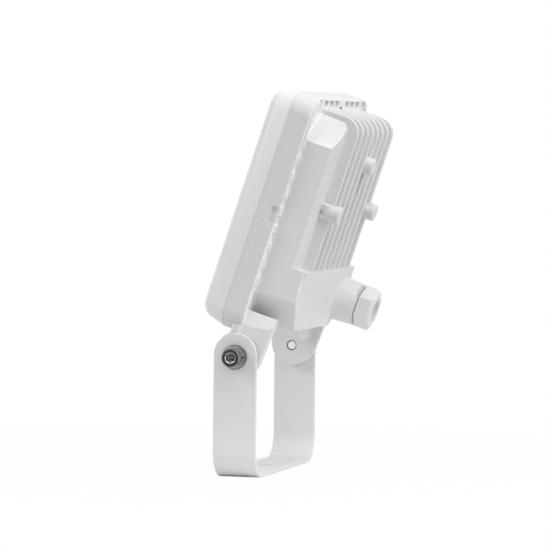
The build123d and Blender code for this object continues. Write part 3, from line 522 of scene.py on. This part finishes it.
speck_points = [tuple(at(*place)) for place in SPECK_PLACES]
washer_steel = shade(SCREW_STEEL, WASHER_STEEL_LIGHTER)
FINISHES = {
    "housing_powder": (powder_coat, {
        "colour": POWDER_WHITE, "grain": 2100.0, "depth": 0.030 * MM, "pits": 0.13,
        "specks": speck_points, "rough_band": True,
    }),
    "bracket_powder": (powder_coat, {
        "colour": POWDER_WHITE, "grain": 1500.0, "depth": 0.012 * MM, "pits": 0.06,
    }),
    "opal_cover": (opal_plastic, {}),
    "gland_nylon": (moulding, {
        "colour": NYLON_WHITE, "roughness": 0.36, "grain": 1200.0, "depth": 0.006 * MM, "variation": 0.02,
    }),
    "gasket_rubber": (moulding, {
        "colour": (0.90, 0.90, 0.89), "roughness": 0.7, "grain": 700.0, "depth": 0.02 * MM,
        "variation": 0.30,
    }),
    "seal_rubber": (moulding, {"colour": (0.36, 0.36, 0.36), "roughness": 0.75}),
    "slip_nylon": (moulding, {"colour": (0.80, 0.80, 0.78), "roughness": 0.45}),
    "dark_steel": (steel, {
        "colour": SCREW_STEEL, "roughness": 0.26, "stretch": (0.1, 1, 1), "zones": screw_zones,
    }),
    "washer_steel": (steel, {"colour": washer_steel, "roughness": 0.30, "zones": washer_zones}),
    "plated_steel": (steel, {"colour": (0.62, 0.62, 0.60), "roughness": 0.32}),
    "tinned_brass": (steel, {"colour": (0.72, 0.60, 0.36), "roughness": 0.35}),
    "white_sheet": (powder_coat, {
        "colour": (0.84, 0.84, 0.83), "grain": 1200.0, "depth": 0.008 * MM, "pits": 0.05,
    }),
    "white_board": (circuit_board, {"mask": (0.86, 0.86, 0.84), "copper": (0.80, 0.79, 0.74)}),
    "green_board": (circuit_board, {"mask": (0.03, 0.20, 0.08), "copper": (0.07, 0.32, 0.13)}),
    "phosphor": (moulding, {"colour": (0.93, 0.80, 0.28), "roughness": 0.4}),
    "thermal_grey": (moulding, {"colour": (0.42, 0.43, 0.45), "roughness": 0.8}),
    "reflector_white": (moulding, {"colour": (0.92, 0.92, 0.91), "roughness": 0.25}),
    "black_epoxy": (moulding, {"colour": (0.05, 0.05, 0.05), "roughness": 0.45}),
    "terminal_nylon": (moulding, {"colour": (0.72, 0.72, 0.67), "roughness": 0.45}),
    "green_sleeve": (moulding, {"colour": (0.25, 0.50, 0.12)}),
    "red_sleeve": (moulding, {"colour": (0.55, 0.06, 0.05)}),
    "blue_sleeve": (moulding, {"colour": (0.06, 0.16, 0.50)}),
}
NODE_FINISH = {
    "cover_gasket": "gasket_rubber",
    "gland_seal": "seal_rubber",
    "gland_ring": "gland_nylon",
    "friction_washer_left": "slip_nylon",
    "friction_washer_right": "slip_nylon",
    "board_screws": "plated_steel",
    "driver_screws": "plated_steel",
    "gear_cover_screws": "plated_steel",
    "earth_screw": "plated_steel",
    "terminal_screws": "plated_steel",
    "earth_tag": "tinned_brass",
    "gear_cover": "white_sheet",
    "led_board": "white_board",
    "driver_board": "green_board",
    "led_chips": "phosphor",
    "thermal_sheet": "thermal_grey",
    "reflector": "reflector_white",
    "transformer": "black_epoxy",
    "driver_chips": "black_epoxy",
    "capacitors": "black_epoxy",
    "terminal_block": "terminal_nylon",
    "earth_lead": "green_sleeve",
    "led_leads": "red_sleeve",
    "supply_leads": "blue_sleeve",
}
finishes = {name: make(name, **values) for name, (make, values) in FINISHES.items()}
for node, finish in NODE_FINISH.items():
    for material_slot in nodes[node].material_slots:
        material_slot.material = finishes[finish]


# Pieces


def place_piece(mesh, name, finish, body, node):
    """Shows a mesh as a piece that rides on a body and stands for a CAD node."""
    piece = add_object(name, mesh)
    mesh.materials.clear()
    mesh.materials.append(finishes[finish])
    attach(piece, body)
    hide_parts(node)
    return piece


def smooth_by_angle(mesh, angle):
    """Smooth shading, kept sharp where two faces turn by more than the angle."""
    mesh.polygons.foreach_set("use_smooth", np.ones(len(mesh.polygons), bool))
    mesh.set_sharp_from_angle(angle=angle)


def merged_copy(node):
    """A node's triangles joined at their corners, with flat faces made whole."""
    shape = bmesh.new()
    shape.from_mesh(nodes[node].data)
    bmesh.ops.remove_doubles(shape, verts=shape.verts, dist=MERGE_DISTANCE)
    bmesh.ops.dissolve_limit(
        shape, angle_limit=FLAT_TURN, verts=shape.verts, edges=shape.edges, delimit={"NORMAL"}
    )
    return shape


def dressed(shape, node, name, finish, body):
    """Shows a changed copy of a node in its place."""
    mesh = bpy.data.meshes.new(name)
    shape.to_mesh(mesh)
    shape.free()
    smooth_by_angle(mesh, SMOOTH_TURN)
    return place_piece(mesh, name, finish, body, node)


def on_pad_edge(corner):
    """Whether a corner of the mesh lies on the outer rear edge of a pad or lip behind the rim."""
    depth = (corner.co - PIVOT).dot(HEAD_REAR)
    return abs(corner.co.x) > PAD_OUTSIDE and abs(depth - PAD_REAR) < PAD_NEAR


def round_pads(shape):
    """Rounds the outer edges of pads and lips nearly down to the rim, to catch the light from behind."""
    outside = [edge for edge in shape.edges if all(on_pad_edge(corner) for corner in edge.verts)]
    bmesh.ops.bevel(
        shape, geom=outside, offset=PAD_ROUNDING, offset_type="OFFSET", segments=2, profile=0.5,
        affect="EDGES", clamp_overlap=True,
    )


def mark_long_edges(shape, shortest, smallest):
    """Gives full bevel weight to long sharp edges between large enough faces."""
    weight = shape.edges.layers.float.new("bevel_weight_edge")
    for edge in shape.edges:
        turned = len(edge.link_faces) == 2 and edge.calc_face_angle(0.0) > SHARP_TURN
        large = min((face.calc_area() for face in edge.link_faces), default=0.0) > smallest
        edge[weight] = 1.0 if turned and large and edge.calc_length() > shortest else 0.0


def softened(shape, node, name, finish, body, radius, shortest, segments=2, smallest=0.0):
    """Shows a copy of a node with its long edges rounded, as paint or a mould rounds them."""
    mark_long_edges(shape, shortest, smallest)
    piece = dressed(shape, node, name, finish, body)
    rounding = piece.modifiers.new("soft_edges", "BEVEL")
    rounding.limit_method = "WEIGHT"
    rounding.width = radius
    rounding.segments = segments
    rounding.use_clamp_overlap = True
    evening = piece.modifiers.new("even_shading", "WEIGHTED_NORMAL")
    evening.keep_sharp = True


housing = merged_copy("rear_housing")
round_pads(housing)
softened(
    housing, "rear_housing", "rear_housing_casting", "housing_powder", "head",
    radius=0.35 * MM, shortest=2.4 * MM, smallest=6 * MM * MM,
)
dressed(merged_copy("lens_cover"), "lens_cover", "opal_lens_cover", "opal_cover", "head")
softened(
    merged_copy("bracket"), "bracket", "folded_bracket", "bracket_powder", "bracket",
    radius=0.25 * MM, shortest=0.5 * MM,
)
softened(
    merged_copy("gland_nut"), "gland_nut", "hexagon_gland_nut", "gland_nylon", "head",
    radius=0.6 * MM, shortest=2.0 * MM, segments=3,
)
for hand in ("left", "right"):
    for kind in ("flat", "spring"):
        washer = f"{kind}_washer_{hand}"
        softened(
            merged_copy(washer), washer, f"{kind}_washer_steel_{hand}", "washer_steel", "head",
            radius=0.12 * MM, shortest=0.3 * MM,
        )


def closed_skin(name, rings):
    """Skin over rows of points. Each row is a closed ring, neighbours are joined by four-sided faces,
    and the first and last rows are closed by a fan of triangles to their middles."""
    rows, around, _ = rings.shape
    points = np.concatenate([rings.reshape(-1, 3), rings[:1].mean(1), rings[-1:].mean(1)])
    index = np.arange(rows * around).reshape(rows, around)
    following = np.roll(index, -1, axis=1)
    quads = np.stack([index[:-1], following[:-1], following[1:], index[1:]], -1).reshape(-1, 4)
    first, last = rows * around, rows * around + 1
    foot = np.stack([following[0], index[0], np.full(around, first)], -1)
    top = np.stack([index[-1], following[-1], np.full(around, last)], -1)
    mesh = bpy.data.meshes.new(name)
    mesh.from_pydata(points.tolist(), [], quads.tolist() + foot.tolist() + top.tolist())
    shape = bmesh.new()
    shape.from_mesh(mesh)
    bmesh.ops.recalc_face_normals(shape, faces=shape.faces)
    shape.to_mesh(mesh)
    shape.free()
    return mesh


def triangle_wave(phase):
    """Rises from 0 to 1 and falls back once in each whole phase."""
    return 1 - np.abs(2 * (phase % 1) - 1)


def screw_rings(length):
    """Rings of a socket head screw along its axis, from its tip to the bottom of its socket.
    Shank: radius = crest - thread depth x triangle wave of (along / pitch - angle / turn).
    Head side: radius = head radius - knurl depth x triangle wave of (knurl count x angle / turn).
    Socket: radius = apothem / cos(angle - middle of its flat), six flats to the turn.
    The rings of the head follow its profile in shares of its chamfer, each with its place along the
    axis and its radii."""
    around = KNURL_COUNT * POINTS_PER_KNURL
    angle = np.arange(around) / around * 2 * np.pi
    turn = angle / (2 * np.pi)
    shank = length - SCREW_HEAD_HEIGHT
    along = np.linspace(0, shank, int(shank / THREAD_PITCH * RINGS_PER_PITCH))[:, None]
    fade = np.clip(along / THREAD_CHAMFER, 0, 1)
    crest = SCREW_RADIUS - (1 - fade) * THREAD_DEPTH * THREAD_CHAMFER_DEEPER
    thread = crest - THREAD_DEPTH * triangle_wave(along / THREAD_PITCH - turn) * fade
    tip = np.full((1, around), crest[0, 0] * SCREW_TIP_SHARE)
    knurl = KNURL_DEPTH * triangle_wave(KNURL_COUNT * turn)
    flat = 2 * np.pi / 6
    hexagon = SOCKET_APOTHEM / np.cos((angle + flat / 2) % flat - flat / 2)
    circle = np.ones(around)
    radius = SCREW_HEAD_RADIUS
    chamfer = SCREW_HEAD_CHAMFER
    face = length
    head = [
        # Rear edge and knurled side
        (shank, circle * (radius - chamfer * 0.5)),
        (shank + chamfer * 0.5, circle * radius - knurl * KNURL_EASED),
        (shank + chamfer * 0.9, circle * radius - knurl),
        (face - chamfer * 1.6, circle * radius - knurl),
        # Rounded front edge
        (face - chamfer * 1.1, circle * (radius - SCREW_HEAD_EDGE) - knurl * KNURL_EASED),
        (face - chamfer * 0.45, circle * (radius - chamfer * 0.45)),
        (face - chamfer * 0.12, circle * (radius - chamfer * 0.85)),
        (face, circle * (radius - chamfer * 1.25)),
        # Mouth of the socket, its six sides and its drilled bottom
        (face, circle * (SOCKET_CORNER + SOCKET_CHAMFER)),
        (face - SOCKET_CHAMFER, np.maximum(hexagon, circle * SOCKET_MOUTH)),
        (face - SOCKET_CHAMFER * 1.6, hexagon),
        (face - SOCKET_DEPTH, hexagon),
        (face - SOCKET_DEPTH, hexagon * SOCKET_FLOOR_SHARE),
        (face - SOCKET_DEPTH - SOCKET_CONE_DEPTH, hexagon * SOCKET_CONE_SHARE),
    ]
    stations = np.concatenate([[0.0], along[:, 0], [place for place, _ in head]])
    radii = np.concatenate([tip, thread, np.stack([ring for _, ring in head])])
    return stations, radii, angle


def socket_screw(hand, side):
    """Socket head screw on the pivot axis, its head outside the bracket's arm.
    Its rings stand across x: y = middle + radius x cos(angle) x side, z = middle + radius x sin(angle)."""
    low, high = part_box(f"pivot_screw_{hand}")
    stations, radii, angle = screw_rings(high.x - low.x)
    tip = low.x if side > 0 else high.x
    middle = (low + high) / 2
    rings = np.stack(
        [
            tip + side * np.repeat(stations[:, None], len(angle), 1),
            middle.y + radii * np.cos(angle) * side,
            middle.z + radii * np.sin(angle),
        ],
        -1,
    )
    name = f"socket_head_screw_{hand}"
    mesh = closed_skin(name, rings)
    smooth_by_angle(mesh, SCREW_SMOOTH_TURN)
    place_piece(mesh, name, "dark_steel", "head", f"pivot_screw_{hand}")


socket_screw("right", 1)
socket_screw("left", -1)


# Studio


def rays_that_see_white(tree):
    """1 for camera, glossy and transmission rays, 0 for the rays that light the part."""
    path = tree.nodes.new("ShaderNodeLightPath")
    total = path.outputs["Is Camera Ray"]
    for name in ("Is Glossy Ray", "Is Transmission Ray"):
        node = tree.nodes.new("ShaderNodeMath")
        node.operation = "MAXIMUM"
        tree.links.new(total, node.inputs[0])
        tree.links.new(path.outputs[name], node.inputs[1])
        total = node.outputs["Value"]
    return total


def white_world():
    """White behind the part, and an even soft light on it."""
    world = bpy.data.worlds.new("studio_world")
    bpy.context.scene.world = world
    world.use_nodes = True
    tree = world.node_tree
    background = tree.nodes["Background"]
    background.inputs["Color"].default_value = (1, 1, 1, 1)
    strength = remap(tree, rays_that_see_white(tree), 0.0, 1.0, SOFT_LIGHT, 1.0)
    tree.links.new(strength, background.inputs["Strength"])


def mixed_surface(tree, factor, first, second):
    """Mixes two surfaces by a factor."""
    mixed = tree.nodes.new("ShaderNodeMixShader")
    tree.links.new(factor, mixed.inputs["Fac"])
    tree.links.new(first, mixed.inputs[1])
    tree.links.new(second, mixed.inputs[2])
    return mixed.outputs["Shader"]


def whitened_for_camera(tree, surface, glow):
    """Mixes plain white into what the camera sees of a surface, so that shadows on it stay pale."""
    path = tree.nodes.new("ShaderNodeLightPath")
    white = tree.nodes.new("ShaderNodeEmission")
    factor = remap(tree, path.outputs["Is Camera Ray"], 0.0, 1.0, 0.0, glow)
    return mixed_surface(tree, factor, surface, white.outputs["Emission"])


def floor_paint():
    """Pale floor material that turns clear away from the part."""
    material, tree, shader = blank_material("floor_paint")
    set_shader(
        shader,
        Base_Color=(*FLOOR_COLOUR, 1),
        Roughness=FLOOR_ROUGHNESS,
        Specular_IOR_Level=FLOOR_SPECULAR,
    )
    clear = tree.nodes.new("ShaderNodeBsdfTransparent")
    fade = rises(tree, distance_to(tree, (0, 0, 0)), FLOOR_SOLID, FLOOR_CLEAR - FLOOR_SOLID)
    whitened = whitened_for_camera(tree, shader.outputs["BSDF"], FLOOR_GLOW)
    surface = mixed_surface(tree, fade, whitened, clear.outputs["BSDF"])
    tree.links.new(surface, tree.nodes["Material Output"].inputs["Surface"])
    return material


def pale_floor():
    """Disc of pale floor under the part: rings of points with x = radius x cos, y = radius x sin."""
    radius = np.linspace(FLOOR_MIDDLE_RADIUS, FLOOR_RADIUS, FLOOR_RINGS)[:, None]
    angle = np.arange(FLOOR_AROUND)[None, :] / FLOOR_AROUND * 2 * np.pi
    level = np.zeros((FLOOR_RINGS, FLOOR_AROUND))
    points = np.stack([radius * np.cos(angle), radius * np.sin(angle), level], -1)
    index = np.arange(FLOOR_RINGS * FLOOR_AROUND).reshape(FLOOR_RINGS, FLOOR_AROUND)
    following = np.roll(index, -1, axis=1)
    quads = np.stack([index[:-1], index[1:], following[1:], following[:-1]], -1).reshape(-1, 4)
    mesh = bpy.data.meshes.new("pale_floor")
    mesh.from_pydata(points.reshape(-1, 3).tolist(), [], quads.tolist() + [index[0].tolist()])
    mesh.materials.append(floor_paint())
    floor = add_object("pale_floor", mesh)


def softbox(name, place, size, power):
    """Square area lamp aimed at the middle of the part."""
    lamp = bpy.data.lights.new(name, "AREA")
    lamp.shape = "SQUARE"
    lamp.size = size
    lamp.energy = power
    stand = add_object(name, lamp)
    stand.location = place
    aim = Vector((0, 0, (cad_bounds[0][2] + cad_bounds[1][2]) / 2)) - stand.location
    stand.rotation_euler = aim.to_track_quat("-Z", "Y").to_euler()


def photo_camera():
    """Camera at the photograph's place: right, up and back follow from azimuth, elevation and roll."""
    lens = bpy.data.cameras.new("photo_camera")
    lens.lens = CAMERA_LENS
    lens.clip_end = CAMERA_REACH
    camera = add_object("photo_camera", lens)
    back = Vector((
        math.sin(CAMERA_AZIMUTH) * math.cos(CAMERA_ELEVATION),
        -math.cos(CAMERA_AZIMUTH) * math.cos(CAMERA_ELEVATION),
        math.sin(CAMERA_ELEVATION),
    ))
    level = Vector((math.cos(CAMERA_AZIMUTH), math.sin(CAMERA_AZIMUTH), 0))
    upright = back.cross(level)
    right = level * math.cos(CAMERA_ROLL) + upright * math.sin(CAMERA_ROLL)
    top = back.cross(right)
    place = right * CAMERA_ACROSS + top * CAMERA_RISE + back * CAMERA_DISTANCE
    camera.matrix_world = Matrix.Translation(place) @ Matrix((right, top, back)).transposed().to_4x4()
    bpy.context.scene.camera = camera


white_world()
pale_floor()
for lamp_name, lamp in LAMPS.items():
    softbox(lamp_name, **lamp)
photo_camera()
bpy.context.scene.view_settings.view_transform = "Standard"
